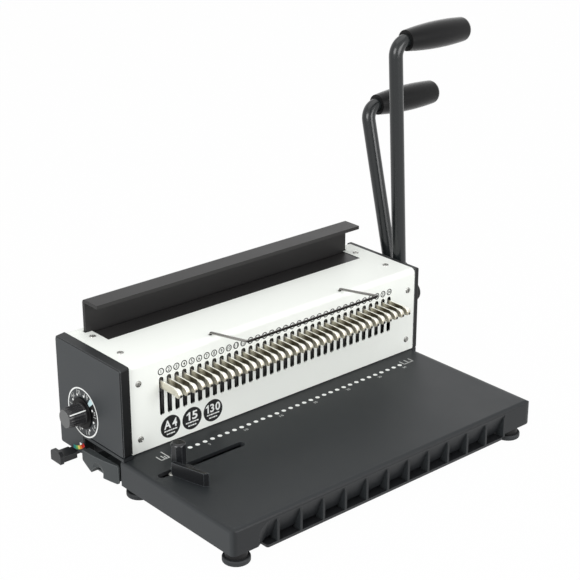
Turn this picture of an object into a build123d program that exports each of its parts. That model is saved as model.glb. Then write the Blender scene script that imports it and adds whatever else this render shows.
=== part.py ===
from build123d import *
from math import cos, radians, sin
import os

# Desktop machine that punches 34 holes and presses double-loop wire shut.
# While it is modelled, x runs along the row of holes from its middle, y runs back from the
# front face of the housing, and z runs up from the top of the paper bed, in millimetres.

# Row of holes
hole_count = 34
hole_pitch = 8.467
row_half = (hole_count - 1) / 2 * hole_pitch
pin_size = 4.0
pin_row = 12.0
pin_low = 8.0
pin_fit = 0.1

# Widths that follow from the row, from the paper gap out to the end covers
paper_margin = 11.3
gap_end = row_half + paper_margin
die_wall = 7.0
die_half = gap_end + die_wall
die_play = 3.5
frame_inner = die_half + die_play
frame_t = 6.0
frame_outer = frame_inner + frame_t
cover_room = 7.7
cover_half = frame_outer + cover_room
end_gap = 0.2
left_inner = cover_half + end_gap
left_t = 10.9
left_outer = left_inner + left_t
right_inner = cover_half + end_gap
right_t = 6.0
right_outer = right_inner + right_t

# Folded cover
cover_depth = 98.5
cover_top = 87.4
cover_low = 0.9
sheet_t = 1.5
cover_bend_r = 5.0
slot_w = 4.9
slot_low = 29.3
slot_high = 66.9
gap_margin = 20.8
gap_half = cover_half - gap_margin
gap_front = 57.7
gap_back = 83.7
web_slot_past = 6.4
web_slot_half = gap_half + web_slot_past
web_slot_back = 89.0

# Paper bed
bed_left = left_outer
bed_ledge = 1.1
bed_right = right_outer - bed_ledge
bed_front = 155.9
bed_height = 24.5
bed_top_t = 3.5
bed_wall = 3.0
bed_corner_r = 5.0
bed_right_corner_r = 9.0
bed_edge_r = 3.5
bed_right_r = 10.0
floor_inset = 0.8
floor_left = cover_half - floor_inset
floor_back = cover_depth - sheet_t - end_gap
rear_skirt_low = 19.2
rear_skirt_t = 3.0
recess_left_side = 40.3
recess_left = bed_left - recess_left_side
recess_right_side = 39.3
recess_right = bed_right - recess_right_side
recess_top = 4.0
recess_depth = 8.5
recess_run_in = 14.0
recess_start = 1.0
rib_count = 12
rib_start = 8.0
rib_t = 2.5
rib_top = 6.0
rib_nose = 0.8
boss_r = 8.0

# Base plate and feet
plate_low = 29.6
plate_t = 2.3
plate_top = plate_low - plate_t
plate_left_side = 36.3
plate_left = bed_left - plate_left_side
plate_right_side = 40.3
plate_right = bed_right - plate_right_side
plate_back = 57.0
plate_boss_r = 6.0
plate_boss_inset = 20.0
plate_boss_x = plate_right - plate_boss_inset
plate_boss_front = 110.0
plate_boss_back = 22.0
ground = 36.0
foot_r = 12.1
foot_neck_r = 9.6
foot_rim = 5.2
foot_edge_r = 1.4
foot_side = 12.0
front_foot_left = bed_left - foot_side
foot_end = 10.9
front_foot_y = bed_front - foot_end
foot_right_side = 22.3
foot_right = bed_right - foot_right_side
mid_foot_side = 15.0
mid_foot_left = bed_left - mid_foot_side
mid_foot_y = 6.0
rear_foot_side = 63.2
rear_foot_x = cover_half - rear_foot_side
rear_foot_back = 14.8
rear_foot_y = floor_back - rear_foot_back

# Slot that the paper fence slides in
fence_slot_side = 8.3
fence_slot_left = bed_left - fence_slot_side
fence_slot_length = 94.6
fence_slot_right = fence_slot_left - fence_slot_length
fence_slot_y = 44.6
fence_slot_w = 7.6

# Left end cover, its bottom edge over the table's rail, with a tab behind the chip tray
rail_low = 0.4
rail_top = 3.4
left_front = 5.0
left_front_in = 3.4
left_back_inset = 2.4
left_back = cover_depth - left_back_inset
left_seam_inset = 0.4
left_back_in = cover_depth - left_seam_inset
left_rise = 0.6
left_top = cover_top + left_rise
left_edge = 1.1
left_corner_r = 2.0
left_seat = rail_top + end_gap
left_rim = 2.6
left_wall = 7.5
tab_front = 57.6
tab_low = 18.6
rail_gap = 0.6
rail_back = tab_front - rail_gap

# Right end cover
right_over = 0.5
right_front = right_over
right_back = cover_depth + right_over
right_seat = 0.3
right_corner_r = 1.3
right_edge_r = 2.2
right_rim = 2.5
right_wall = 3.6
cap_r = 10.5
cap_t = 5.6
cap_y = 11.5
cap_z = 58.0

# Steel side frames
frame_front = 4.0
frame_rear_gap = 4.8
frame_back = floor_back - frame_rear_gap
frame_top_gap = 3.4
frame_top = cover_top - frame_top_gap
frame_corner_r = 6.0
guide_low = 24.0
guide_fit = 0.1

# Die and stripper
die_front = 3.4
die_back = 29.6
die_t = 12.0
paper_gap = 3.0
stripper_back = 26.0
stripper_top = 13.0
die_window_fit = 0.2

# Punch beam and the pulls that lock the pins in it
beam_play = 1.0
beam_half = die_half - beam_play
beam_front = 6.0
beam_back = 25.0
beam_low = 48.0
beam_top = 66.0
tongue_play = 0.5
tongue_half = frame_outer - tongue_play
tongue_front = 11.0
tongue_back = 23.0
beam_edge_r = 1.5
pull_low = 55.6
pull_high = 63.4
pull_t = 1.8
pull_inner = 16.0
pull_tip = 28.2
pull_nose_r = 3.4
pad_w = 4.0
pad_depth = 4.6
pad_edge_r = 1.0
pull_fit = 0.3

# Punch shaft and the handle on it
shaft_r = 8.0
shaft_fit = 0.05
cover_fit = 0.4
shaft_over = 1.0
shaft_start = frame_outer + shaft_over
stub_gap = 0.8
stub_start = right_outer + stub_gap
stub_r = 4.8
punch_y = 36.4
punch_z = 72.0
punch_stroke = 20.0
punch_swing_angle = 75.0
punch_cam_in = 33.0
punch_cam_x = die_half - punch_cam_in
cam_w = 12.0
cam_hub_r = 9.5
cam_gap = 0.2
cam_lead_angle = 4.0
cam_flat_angle = 35.0
cam_steps = 12

# Closer shaft and the handle on it
closer_y = 59.6
closer_z = 46.0
closer_stroke = 18.0
closer_swing_angle = 70.0
closer_cam_in = 53.0
closer_cam_x = die_half - closer_cam_in

# Handles
tube_r = 7.0
tube_bend_r = 14.0
hub_r = 7.9
hub_w = 14.6
hub_edge_r = 0.8
punch_out = 8.4
punch_plane = right_outer + punch_out
punch_length = 233.5
punch_lean_angle = 3.4
handles_apart = 15.1
closer_plane = punch_plane + handles_apart
closer_length = 186.2
closer_lean_angle = 13.9
grip_length = 83.6
grip_inner_r = 10.5
grip_waist = 38.0
grip_middle_r = 13.5
grip_outer_r = 12.4
grip_end_r = 6.0
grip_cap = 9.0

# Closer bar and the wire anvil under it
bar_play = 1.2
bar_half = web_slot_half - bar_play
bar_shift = 0.8
bar_front = 64.6
bar_back_gap = 1.0
bar_back = web_slot_back - bar_back_gap
bar_top = 119.3
bar_t = 3.5
bar_bend_r = 4.0
bar_skirt_low = 62.0
leg_w = 26.0
foot_top = 36.0
foot_front = 38.0
anvil_gap = 0.4
anvil_half = gap_half - anvil_gap
anvil_front = gap_front + anvil_gap
anvil_back = 80.8
anvil_sink = 0.4
anvil_top = cover_top - anvil_sink
anvil_low = 76.0
anvil_lug_half = frame_inner
anvil_lug_top = 83.6

# Size dial
dial_y = 56.0
dial_z = 26.0
dial_skirt_r = 14.8
dial_skirt_t = 1.6
dial_grip_r = 9.9
dial_end_r = 9.3
dial_out = 19.9
dial_end = left_outer + dial_out
dial_edge_r = 0.7
dial_root = 1.2
dial_ridges = 24
ridge_r = 0.7
ridge_sink = 0.25
dial_shaft_r = 4.0
dial_cam_r = 9.0
dial_cam_shift = 2.0
dial_cam_w = 8.0
dial_shaft_in = 12.5
dial_shaft_end = frame_inner - dial_shaft_in
dial_gap = 0.4

# Depth lever and the paper stop that it moves
lever_in = 36.3
lever_x = left_outer - lever_in
lever_from_back = 20.0
lever_y = cover_depth - lever_from_back
lever_top = 19.8
lever_low = 25.4
cap_ahead = 8.5
lever_front = lever_y - cap_ahead
cap_behind = 6.3
lever_back = lever_y + cap_behind
lever_out = 18.5
lever_tip = left_outer + lever_out
lever_tail = 19.5
lever_inner = lever_x - lever_tail
strip_half = 5.5
strip_front = lever_y - strip_half
strip_back = lever_y + strip_half
strip_top = 20.6
strip_low = 23.6
tee_t = 4.0
tee_ahead = 0.4
tee_front = lever_front - tee_ahead
tee_behind = 0.6
tee_back = lever_back + tee_behind
tee_low = 26.4
tee_high = 15.2
tee_corner_r = 3.8
lever_corner_r = 3.0
pivot_r = 3.0
pivot_boss_r = 6.0
stud_out = 14.0
stud_r = 2.5
stud_top = 2.0
stud_slot = 2.8
stop_play = 3.0
stop_half = gap_end - stop_play
stop_from_pins = 4.5
stop_front = pin_row + stop_from_pins
stop_t = 4.0
stop_back = stop_front + stop_t
stop_low = 0.4
stop_high = 2.5
tail_w = 14.0
tail_past = 6.0
tail_end = lever_y + tail_past
eye_play = 4.0

# Chip tray and the rail of the table beside it
tray_front = 7.0
tray_back = 49.6
tray_low = 24.6
tray_high = 13.6
tray_wall = 1.6
tray_short = 8.0
tray_end = die_half - tray_short
tray_wall_y = 58.4
tray_wall_t = 2.6
runner_inset = 10.0
runner_start = plate_left - runner_inset
runner_w = 4.0
runner_gap = 0.3
face_seat = 0.4
face_inner = left_outer - face_seat
face_front = 3.0
face_back = 51.4
face_high_front = 6.5
face_high_back = 7.3
face_low = 24.6
face_swell_front = 1.4
face_swell = 6.3
face_swell_y = 33.0
face_swell_back = 6.8
face_corner_r = 2.0
heel_cut_y = 38.5
heel_cut_z = 17.5
notch_y = 29.6
notch_z = 25.7
notch_r = 8.2
dish_y = 27.5
dish_z = 20.0
dish_r = 14.0
dish_depth = 3.0

# Paper fence and its knob
fence_in = 21.9
fence_x = fence_slot_left - fence_in
fence_turn_angle = 14.5
fence_gap = 0.3
fence_high = 12.5
fence_out = 12.9
fence_t = 4.0
fence_start = 2.2
fence_end = 40.3
fence_chamfer = 3.2
heel_side = 7.0
heel_back = 4.5
heel_front = 12.0
heel_high = 3.0
heel_r = 4.0
knob_low = heel_high + fence_gap
knob_high = 26.4
knob_dome_r = 3.2
knob_sides = 8
knob_turn_angle = 35.0
knob_side_r = 6.9
stud_screw_r = 3.0
nut_r = 6.5
nut_t = 4.0
nut_gap = 0.3

# Wire rack
rack_half = 79.0
rack_y = 7.0
rack_inner = 80.0
rack_bend = 89.4
rack_front = 46.5
rack_high = 98.7
rack_wire_r = 1.25
rack_bend_r = 3.0
rack_hole_r = 1.8

# Torsion springs on the shafts
spring_bore = 0.5
spring_wire_r = 0.9
spring_r = shaft_r + spring_bore + spring_wire_r
spring_pitch = 2.6
spring_turns = 4
spring_gap = 0.05


def block(x0, x1, y0, y1, z0, z1):
    middle = Pos((x0 + x1) / 2, (y0 + y1) / 2, (z0 + z1) / 2)
    return middle * Box(x1 - x0, y1 - y0, z1 - z0)


def cross_rod(x0, x1, y, z, r):
    return Pos((x0 + x1) / 2, y, z) * Rot(0, 90, 0) * Cylinder(r, x1 - x0)


def post(x, y, z0, z1, r):
    return Pos(x, y, (z0 + z1) / 2) * Cylinder(r, z1 - z0)


def slab(x0, x1, outline):
    """Extrude an outline drawn in y and z from x0 to x1."""
    return extrude(Plane.YZ.offset(x0) * outline, amount=x1 - x0, dir=(1, 0, 0))


def raised(z0, z1, outline):
    """Extrude an outline drawn in x and y from z0 to z1."""
    return extrude(Plane.XY.offset(z0) * outline, amount=z1 - z0, dir=(0, 0, 1))


def hole_x(index):
    return (index - (hole_count - 1) / 2) * hole_pitch


def rib_x(index):
    first = rib_start - recess_left
    return first + (recess_right - first) * index / (rib_count - 1)


def foot_places():
    return [
        (-front_foot_left, -front_foot_y, bed_height),
        (foot_right, -front_foot_y, bed_height),
        (-mid_foot_left, -mid_foot_y, bed_height),
        (foot_right, -mid_foot_y, bed_height),
        (-rear_foot_x, rear_foot_y, rear_skirt_low),
        (rear_foot_x, rear_foot_y, rear_skirt_low),
    ]


def recess_cutter():
    """Wedge that makes the front wall lean in, run in gently from the left corner."""
    deep = Polygon(
        (-bed_front - bed_wall, -recess_top),
        (-bed_front, -recess_top),
        (-bed_front + recess_depth, -plate_top),
        (-bed_front - bed_wall, -plate_top),
        align=None,
    )
    shallow = Polygon(
        (-bed_front - bed_wall, -recess_top),
        (-bed_front - recess_start, -recess_top),
        (-bed_front, -plate_top),
        (-bed_front - bed_wall, -plate_top),
        align=None,
    )
    run_in = loft([
        Plane.YZ.offset(-recess_left - recess_run_in) * shallow,
        Plane.YZ.offset(-recess_left) * deep,
    ])
    return slab(-recess_left, recess_right, deep) + run_in


def bed_body():
    """Table with square corners in plan rounded and its long edges rolled over."""
    width = bed_left + bed_right
    section = Pos((bed_right - bed_left) / 2, -bed_height / 2) * Rectangle(width, bed_height)
    top = section.vertices().group_by(Axis.Y)[-1].sort_by(Axis.X)
    section = fillet(top[0], bed_edge_r)
    top = section.vertices().sort_by_distance((bed_right, 0))[0]
    section = fillet(top, bed_right_r)
    along = extrude(Plane.XZ.offset(bed_front) * section, amount=bed_front, dir=(0, 1, 0))
    side = Pos(-bed_front / 2, -bed_height / 2) * Rectangle(bed_front, bed_height)
    side = fillet(side.vertices().sort_by_distance((-bed_front, 0))[0], bed_edge_r)
    plan = Pos((bed_right - bed_left) / 2, -bed_front / 2) * Rectangle(width, bed_front)
    corners = plan.vertices().group_by(Axis.Y)[0].sort_by(Axis.X)
    plan = fillet(corners[0], bed_corner_r)
    corner = plan.vertices().sort_by_distance((bed_right, -bed_front))[0]
    plan = fillet(corner, bed_right_corner_r)
    return along & slab(-bed_left, bed_right, side) & raised(-bed_height, 0, plan)


def bed_table():
    outer = bed_body() - recess_cutter()
    hollow = Polygon(
        (-bed_front + bed_wall, -bed_top_t),
        (0, -bed_top_t),
        (0, -bed_height),
        (-bed_front + bed_wall + recess_depth, -bed_height),
        align=None,
    )
    outer -= slab(-bed_left + bed_wall, bed_right - bed_wall, hollow)
    floor = block(-floor_left, bed_right, 0, floor_back, -bed_top_t, 0)
    bed = outer + floor
    bed += block(-bed_left, -cover_half - end_gap, -bed_corner_r, rail_back, rail_low, rail_top)
    bed += block(-cover_half - end_gap - bed_wall, -floor_left, 0, rail_back, -bed_top_t, rail_low)
    bed += block(bed_right - bed_wall, bed_right, 0, floor_back, -rear_skirt_low, 0)
    bed += block(-floor_left, bed_right, floor_back - rear_skirt_t, floor_back, -rear_skirt_low, 0)
    wall_end = tray_wall_y + tray_wall_t
    bed += block(-floor_left, tray_end, tray_wall_y, wall_end, -rear_skirt_low, -bed_top_t)
    for index in range(rib_count):
        gusset = Polygon(
            (-bed_front, -plate_top),
            (-bed_front + recess_depth + rib_nose, -plate_top),
            (-bed_front + rib_nose, -rib_top),
            (-bed_front, -rib_top - rib_t),
            align=None,
        )
        x = rib_x(index)
        bed += slab(x - rib_t / 2, x + rib_t / 2, gusset)
    for x, y, depth in foot_places():
        bed += post(x, y, -depth, -bed_top_t / 2, boss_r)
    for x in (-plate_boss_x, plate_boss_x):
        for y in (-plate_boss_front, -plate_boss_back):
            bed += post(x, y, -plate_top, -bed_top_t / 2, plate_boss_r)
    bed += post(-lever_x, lever_y, fence_gap - strip_top, -bed_top_t / 2, pivot_boss_r)
    bed += post(-lever_x, lever_y, -strip_low, -bed_top_t, pivot_r)
    fit = die_window_fit
    bed -= block(-die_half - fit, die_half + fit, die_front - fit, die_back + fit, -bed_top_t, 0)
    slot = SlotOverall(fence_slot_left - fence_slot_right, fence_slot_w)
    slot_middle = -(fence_slot_left + fence_slot_right) / 2
    bed -= raised(-bed_top_t, 0, Pos(slot_middle, -fence_slot_y) * slot)
    stud_x = -lever_x + stud_out
    reach = stud_r + stud_slot
    window = block(stud_x - reach, stud_x + reach, lever_y - reach, lever_y + reach, -bed_top_t, 0)
    return bed - window


def base_plate():
    plate = block(-plate_left, plate_right, -bed_front, plate_back, -plate_low, plate_t - plate_low)
    corners = plate.edges().filter_by(Axis.Z)
    return fillet(corners, plate_t)


def rubber_feet():
    feet = []
    for x, y, depth in foot_places():
        profile = Polygon(
            (0, -ground),
            (foot_r, -ground),
            (foot_r, -ground + foot_rim),
            (foot_neck_r, -ground + foot_rim),
            (foot_neck_r, -depth),
            (0, -depth),
            align=None,
        )
        rounded = fillet(profile.vertices().group_by(Axis.X)[-1], foot_edge_r)
        feet.append(Pos(x, y, 0) * revolve(Plane.XZ * rounded, Axis.Z))
    return Compound(feet)


def cover():
    low = -rear_skirt_low
    outside = Pos(cover_depth / 2, (cover_top + low) / 2) * Rectangle(cover_depth, cover_top - low)
    outside = fillet(outside.vertices().group_by(Axis.Y)[-1], cover_bend_r)
    inside = Pos(cover_depth / 2, (cover_top + low) / 2 - sheet_t)
    inside *= Rectangle(cover_depth - 2 * sheet_t, cover_top - low)
    inside = fillet(inside.vertices().group_by(Axis.Y)[-1], cover_bend_r - sheet_t)
    shell = slab(-cover_half, cover_half, outside - inside)
    shell -= block(-cover_half, cover_half, 0, sheet_t, low, cover_low)
    slot = SlotOverall(slot_high - slot_low, slot_w, rotation=90)
    cutter = extrude(Plane.XZ * slot, amount=sheet_t, dir=(0, 1, 0))
    middle = (slot_high + slot_low) / 2
    for index in range(hole_count):
        shell -= Pos(hole_x(index), 0, middle) * cutter
    shell -= block(-gap_half, gap_half, gap_front, gap_back, cover_top - cover_bend_r, cover_top)
    low = cover_top - cover_bend_r
    left = -web_slot_half - bar_shift
    shell -= block(left, web_slot_half - bar_shift, gap_back, web_slot_back, low, cover_top)
    for x in (-rack_half, rack_half):
        shell -= post(x, rack_y, cover_top - cover_bend_r, cover_top, rack_hole_r)
    return shell


def left_outline(front, back, inset):
    """Side outline of the left end cover with its tab behind the chip tray."""
    outline = Polygon(
        (-front + inset, left_seat + inset),
        (-front + inset, left_top - inset),
        (back - inset, left_top - inset),
        (back - inset, -tab_low + inset),
        (tab_front + inset, -tab_low + inset),
        (tab_front + inset, left_seat + inset),
        align=None,
    )
    corners = outline.vertices().sort_by_distance((tab_front, left_seat))[1:]
    return fillet(corners, left_corner_r)


def left_end_cover():
    outlines = (
        (left_inner, left_outline(left_front_in, left_back_in, 0)),
        (left_outer - left_edge, left_outline(left_front, left_back, 0)),
        (left_outer, left_outline(left_front, left_back, left_edge)),
    )
    places = [Plane.YZ.offset(-x) * outline for x, outline in outlines]
    body = loft(places[:2], ruled=True) + loft(places[1:], ruled=True)
    body -= slab(
        left_wall - left_outer, -left_inner, left_outline(left_front_in, left_back, left_rim)
    )
    bore = dial_shaft_r + cover_fit
    return body - cross_rod(-left_outer, -left_inner, dial_y, dial_z, bore)


def right_end_cover():
    width = right_back + right_front
    height = cover_top - right_seat
    middle = Pos(right_back - width / 2, right_seat + height / 2)
    face = middle * RectangleRounded(width, height, right_corner_r)
    body = slab(right_inner, right_outer, face)
    body = fillet(body.faces().sort_by(Axis.X)[-1].edges(), right_edge_r)
    pocket = middle * Rectangle(width - 2 * right_rim, height - 2 * right_rim)
    body -= slab(right_inner, right_outer - right_wall, pocket)
    cap = cross_rod(right_outer - right_wall, right_outer + cap_t, cap_y, cap_z, cap_r)
    cap = fillet(cap.edges().sort_by(Axis.X)[-1], cap_t / 2)
    body += cap
    bore = shaft_r + cover_fit
    body -= cross_rod(right_inner, right_outer, punch_y, punch_z, bore)
    return body - cross_rod(right_inner, right_outer, closer_y, closer_z, bore)


def side_frames():
    def plate(side):
        outline = Pos((frame_front + frame_back) / 2, frame_top / 2) * Rectangle(
            frame_back - frame_front, frame_top
        )
        outline = fillet(outline.vertices().group_by(Axis.Y)[-1], frame_corner_r)
        span = sorted((side * frame_inner, side * frame_outer))
        body = slab(span[0], span[1], outline)
        body -= block(
            span[0], span[1], tongue_front - guide_fit, tongue_back + guide_fit, guide_low,
            beam_top + guide_fit
        )
        bore = shaft_r + shaft_fit
        body -= cross_rod(span[0], span[1], punch_y, punch_z, bore)
        body -= cross_rod(span[0], span[1], closer_y, closer_z, bore)
        if side < 0:
            body -= cross_rod(span[0], span[1], dial_y, dial_z, dial_shaft_r + shaft_fit)
        return body

    return Compound([plate(-1), plate(1)])


def pin_holes(z0, z1):
    width = pin_size + 2 * pin_fit
    holes = []
    for index in range(hole_count):
        x = hole_x(index)
        holes.append(block(
            x - width / 2, x + width / 2, pin_row - width / 2, pin_row + width / 2, z0, z1
        ))
    return holes


def die_block():
    body = block(-die_half, die_half, die_front, die_back, -die_t, 0)
    body += block(-die_half, die_half, die_front, stripper_back, paper_gap, stripper_top)
    for side in (-1, 1):
        span = sorted((side * gap_end, side * die_half))
        body += block(span[0], span[1], die_front, stripper_back, 0, stripper_top)
    return body - pin_holes(-die_t, stripper_top)


def punch_beam():
    body = block(-beam_half, beam_half, beam_front, beam_back, beam_low, beam_top)
    body = chamfer(body.edges().filter_by(Axis.X), beam_edge_r)
    body += block(-tongue_half, tongue_half, tongue_front, tongue_back, beam_low, beam_top)
    width = pull_t + 2 * pull_fit
    slots = []
    for index in range(hole_count):
        x = hole_x(index)
        slots.append(block(
            x - width / 2, x + width / 2, beam_front, pull_inner + pull_fit,
            pull_low - pull_fit, pull_high + pull_fit
        ))
    body -= slots
    return body - pin_holes(beam_low, beam_top)


def punch_pins():
    pins = []
    top = pull_low - pull_fit
    for index in range(hole_count):
        x = hole_x(index)
        pins.append(block(
            x - pin_size / 2, x + pin_size / 2, pin_row - pin_size / 2, pin_row + pin_size / 2,
            pin_low, top
        ))
    return Compound(pins)


def pin_pull(index):
    """Stamped pull on edge, its nose rolled down and folded over to a finger pad."""
    outline = Polygon(
        (-pull_tip, pull_low),
        (-pull_tip, pull_high),
        (pull_inner, pull_high),
        (pull_inner, pull_low),
        align=None,
    )
    corners = outline.vertices().group_by(Axis.X)[0]
    outline = fillet(corners, pull_nose_r)
    strip = slab(-pull_t / 2, pull_t / 2, outline)
    plan = Pos(0, -pull_tip) * RectangleRounded(
        pad_w, 2 * pad_depth, pad_edge_r
    )
    pad = slab(-pad_w / 2, pad_w / 2, outline) & raised(pull_low, pull_high, plan)
    return Pos(hole_x(index), 0, 0) * (strip + pad)


def cam_face(drop, stroke, swing_angle):
    """Involute nose that presses a flat ledge down by equal steps for equal turns."""
    base = stroke / radians(swing_angle)
    start = drop - cam_gap
    curve = []
    for step in range(cam_steps + 1):
        turn = radians(swing_angle + cam_lead_angle) * step / cam_steps
        y = -base
        z = -start - base * turn
        curve.append((y * cos(turn) + z * sin(turn), z * cos(turn) - y * sin(turn)))
    tip_y, tip_z = curve[-1]
    reach = (tip_y * tip_y + tip_z * tip_z) ** 0.5
    shoulder = (cam_hub_r * tip_z / reach, -cam_hub_r * tip_y / reach)
    heel = radians(cam_flat_angle)
    root = (-cam_hub_r * cos(heel), -cam_hub_r * sin(heel))
    nose = make_face([
        Spline(curve),
        Line(curve[-1], shoulder),
        Line(shoulder, (0, 0)),
        Line((0, 0), root),
        Line(root, curve[0]),
    ])
    return nose + Circle(cam_hub_r)


def cam_shaft(y, z, end_x, cam_x, face):
    body = cross_rod(-shaft_start, stub_start, y, z, shaft_r)
    body += cross_rod(-shaft_start, end_x, y, z, stub_r)
    for x in (-cam_x, cam_x):
        body += Pos(0, y, z) * slab(x - cam_w / 2, x + cam_w / 2, face)
    return body


def punch_shaft():
    face = cam_face(punch_z - beam_top, punch_stroke, punch_swing_angle)
    return cam_shaft(punch_y, punch_z, punch_plane + hub_w / 2, punch_cam_x, face)


def closer_shaft():
    face = cam_face(closer_z - foot_top, closer_stroke, closer_swing_angle)
    return cam_shaft(closer_y, closer_z, closer_plane + hub_w / 2, closer_cam_x, face)


def handle(length):
    """Bent tube in a clamp hub, upright, with the shaft's axis through the origin."""
    path = FilletPolyline(
        (0, 0, 0),
        (0, 0, length),
        (tube_bend_r + grip_length - grip_cap, 0, length),
        radius=tube_bend_r,
    )
    tube = sweep(Plane.XY * Circle(tube_r), path=path)
    hub = cross_rod(-hub_w / 2, hub_w / 2, 0, 0, hub_r)
    hub = fillet(hub.edges().filter_by(GeomType.CIRCLE), hub_edge_r)
    return tube + hub - cross_rod(-hub_w, hub_w, 0, 0, stub_r)


def grip(length):
    """Soft grip on the handle's end, fullest in its middle and closed at the outer end."""
    end = tube_bend_r + grip_length
    start = tube_bend_r
    side = Spline(
        (start, grip_inner_r),
        (start + grip_waist, grip_middle_r),
        (end - grip_end_r, grip_outer_r),
    )
    profile = make_face([
        side,
        Line((start, grip_inner_r), (start, 0)),
        Line((start, 0), (end, 0)),
        Line((end, 0), (end, grip_outer_r - grip_end_r)),
        RadiusArc((end, grip_outer_r - grip_end_r), (end - grip_end_r, grip_outer_r), -grip_end_r),
    ])
    body = revolve(Plane.XZ * profile, Axis.X)
    body -= cross_rod(start, end - grip_cap, 0, 0, tube_r)
    return Pos(0, 0, length) * body


def place_handle(shape, plane, y, z, lean):
    return Pos(plane, y, z) * Rot(-lean, 0, 0) * shape


def closer_bar():
    """Angle bar whose two legs reach down to ledges under the closer cams."""
    angle = Polygon(
        (bar_front, bar_top - bar_t),
        (bar_front, bar_top),
        (bar_back, bar_top),
        (bar_back, bar_skirt_low),
        (bar_back - bar_t, bar_skirt_low),
        (bar_back - bar_t, bar_top - bar_t),
        align=None,
    )
    corner = angle.vertices().sort_by_distance((bar_back, bar_top))[0]
    body = slab(-bar_half - bar_shift, bar_half - bar_shift, fillet(corner, bar_bend_r))
    for x in (-closer_cam_x, closer_cam_x):
        low = foot_top - bar_t
        leg = block(x - leg_w / 2, x + leg_w / 2, bar_back - bar_t, bar_back, low, bar_skirt_low)
        leg += block(x - leg_w / 2, x + leg_w / 2, foot_front, bar_back, low, foot_top)
        body += leg
    return body


def wire_anvil():
    body = block(-anvil_half, anvil_half, anvil_front, anvil_back, anvil_low, anvil_top)
    lug_low = anvil_low
    body += block(-anvil_lug_half, anvil_lug_half, anvil_front, anvil_back, lug_low, anvil_lug_top)
    return body


def dial_knob():
    skirt_face = left_outer + dial_gap
    skirt_end = skirt_face + dial_skirt_t
    profile = Polygon(
        (-skirt_face, 0),
        (-skirt_face, dial_skirt_r),
        (-skirt_end, dial_skirt_r),
        (-skirt_end - dial_root, dial_grip_r),
        (-dial_end, dial_end_r),
        (-dial_end, 0),
        align=None,
    )
    body = revolve(Plane.XZ * profile, Axis.X)
    rims = body.edges().filter_by(GeomType.CIRCLE).sort_by(Axis.X)
    body = fillet(rims[0], dial_edge_r)
    ridges = []
    for index in range(dial_ridges):
        turn = 360 * index / dial_ridges
        ridge = cross_rod(
            dial_root - dial_end, -skirt_end - dial_root, 0, dial_end_r - ridge_sink, ridge_r
        )
        ridges.append(Rot(turn, 0, 0) * ridge)
    body += ridges
    body += cross_rod(-skirt_face, -dial_shaft_end, 0, 0, dial_shaft_r)
    cam = cross_rod(-dial_shaft_end - dial_cam_w, -dial_shaft_end, 0, dial_cam_shift, dial_cam_r)
    return Pos(0, dial_y, dial_z) * (body + cam)


def depth_lever():
    arm = block(-left_outer, -lever_inner, strip_front, strip_back, -strip_low, -strip_top)
    arm = fillet(arm.edges().filter_by(Axis.Z).group_by(Axis.X)[-1], lever_corner_r)
    arm += block(-lever_tip, -left_outer, lever_front, lever_back, -lever_low, -lever_top)
    tee = block(-lever_tip, tee_t - lever_tip, tee_front, tee_back, -tee_low, -tee_high)
    tee = fillet(tee.edges().filter_by(Axis.X).group_by(Axis.Z)[-1], tee_corner_r)
    body = arm + tee
    body += post(-lever_x + stud_out, lever_y, -strip_top, stud_top, stud_r)
    return body - post(-lever_x, lever_y, -strip_low, -strip_top, pivot_r + shaft_fit)


def paper_stop():
    stud_x = -lever_x + stud_out
    bar = block(-stop_half, stop_half, stop_front, stop_back, stop_low, stop_high)
    tail = block(
        stud_x - tail_w / 2, stud_x + tail_w / 2, stop_back, tail_end, stop_low, stop_high
    )
    tail = fillet(tail.edges().filter_by(Axis.Z).group_by(Axis.Y)[-1], stud_r)
    eye = SlotOverall(2 * stud_r + eye_play, 2 * (stud_r + shaft_fit))
    return bar + tail - raised(stop_low, stop_high, Pos(stud_x, lever_y) * eye)


def tray_face():
    """Front of the tray, swelling outwards in plan, with a dished finger notch."""
    outline = Polygon(
        (face_front, -face_high_front),
        (face_back, -face_high_back),
        (face_back, -heel_cut_z),
        (heel_cut_y, -face_low),
        (face_front, -face_low),
        align=None,
    )
    outline = fillet(outline.vertices(), face_corner_r)
    outline -= Pos(notch_y, -notch_z) * Circle(notch_r)
    start = (-face_inner - face_swell_front, face_front)
    end = (-face_inner - face_swell_back, face_back)
    plan = make_face([
        Spline(start, (-face_inner - face_swell, face_swell_y), end),
        Line(end, (-face_inner, face_back)),
        Line((-face_inner, face_back), (-face_inner, face_front)),
        Line((-face_inner, face_front), start),
    ])
    face = slab(-face_inner - 2 * face_swell, -face_inner, outline)
    face &= raised(-face_low, -face_high_front, plan)
    dish_x = -face_inner - face_swell - dish_r + dish_depth
    return face - Pos(dish_x, dish_y, -dish_z) * Sphere(dish_r)


def chip_tray():
    body = block(-face_inner, tray_end, tray_front, tray_back, -tray_low, -tray_high)
    body -= block(
        -face_inner, tray_end - tray_wall, tray_front + tray_wall, tray_back - tray_wall,
        tray_wall - tray_low, -tray_high
    )
    runner_low = runner_gap + plate_t - plate_low
    for y in (tray_front, tray_back - runner_w):
        body += block(-runner_start, tray_end, y, y + runner_w, runner_low, -tray_low)
    return body + tray_face()


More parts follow.
